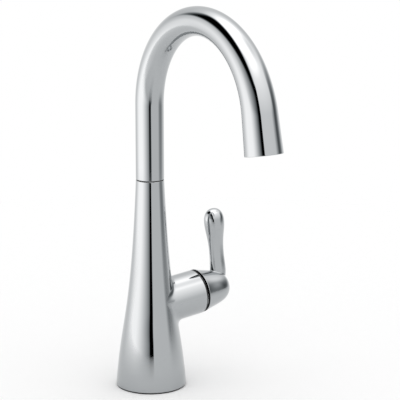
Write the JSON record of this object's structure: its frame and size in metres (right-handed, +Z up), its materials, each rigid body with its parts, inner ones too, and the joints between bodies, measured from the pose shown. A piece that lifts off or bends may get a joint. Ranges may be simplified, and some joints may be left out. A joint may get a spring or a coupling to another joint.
{
  "type": "gooseneck bar faucet",
  "caption": "Single-handle gooseneck bar faucet in polished chrome with a trumpet-shaped body, a swivelling arched spout and a domed side lever valve.",
  "frame": {"origin": "on the deck's top face, at the body's axis", "axes": "+Z up along the body and the spout's swivel axis, spout towards -Y at rest, valve housing and handle towards +X"},
  "size_m": [0.1088, 0.2031, 0.384],
  "materials": {
    "chrome": "polished chrome plate over cast metal",
    "brass": "machined brass, bare",
    "steel": "stainless steel, as turned",
    "black_rubber": "matt black rubber",
    "black_plastic": "black acetal, satin",
    "grey_plastic": "grey acetal, satin",
    "white_plastic": "white moulded plastic",
    "red_plastic": "red moulded plastic",
    "ceramic": "lapped alumina"
  },
  "bodies": {
    "body": {"body_shell": "chrome", "base_gasket": "black_rubber", "mounting_shank": "brass", "valve_body": "brass", "hot_inlet_tube": "brass", "cold_inlet_tube": "brass", "outlet_riser": "brass", "glide_ring": "black_plastic", "cartridge_base": "white_plastic", "port_seals": "black_rubber", "base_seal": "black_rubber", "fixed_disc": "ceramic", "cartridge_sleeve": "white_plastic", "limit_ring": "red_plastic", "bonnet_nut": "brass", "bonnet_cap": "black_plastic"},
    "spout": {"spout_tube": "chrome", "spout_hub": "brass", "spout_o_rings": "black_rubber", "snap_ring": "steel", "aerator_seal": "black_rubber", "aerator_housing": "grey_plastic", "aerator_core": "white_plastic", "aerator_screen": "steel"},
    "turret": {"rotor": "white_plastic", "stem_pin": "steel"},
    "slider": {"moving_disc": "ceramic", "disc_carrier": "grey_plastic"},
    "lever": {"handle": "chrome", "handle_screw": "steel", "stem": "steel"},
    "clamp": {"mounting_nut": "brass", "steel_washer": "steel", "deck_washer": "black_rubber"}
  },
  "joints": [
    {"name": "spout_swivel", "type": "hinge", "parent": "body", "child": "spout", "pos_m": [0, 0, 0.18], "axis": [0, 0, 1], "continuous": true},
    {"name": "temperature", "type": "hinge", "parent": "body", "child": "turret", "pos_m": [0.02588, 0, 0.07225], "axis": [0.9956, 0, 0.0941], "range_deg": [-45, 45]},
    {"name": "flow", "type": "hinge", "parent": "turret", "child": "lever", "pos_m": [0.02588, 0, 0.07225], "axis": [0, 1, 0], "range_deg": [0, 22]},
    {"name": "disc_slide", "type": "slide", "parent": "turret", "child": "slider", "axis": [-0.0941, 0, 0.9956], "range_m": [0, 0.0021]},
    {"name": "nut_travel", "type": "slide", "parent": "body", "child": "clamp", "axis": [0, 0, 1], "range_m": [-0.016, 0.012]}
  ],
  "couplings": [
    {"joint": "disc_slide", "follows": "flow", "m_per_rad": 0.005463}
  ]
}
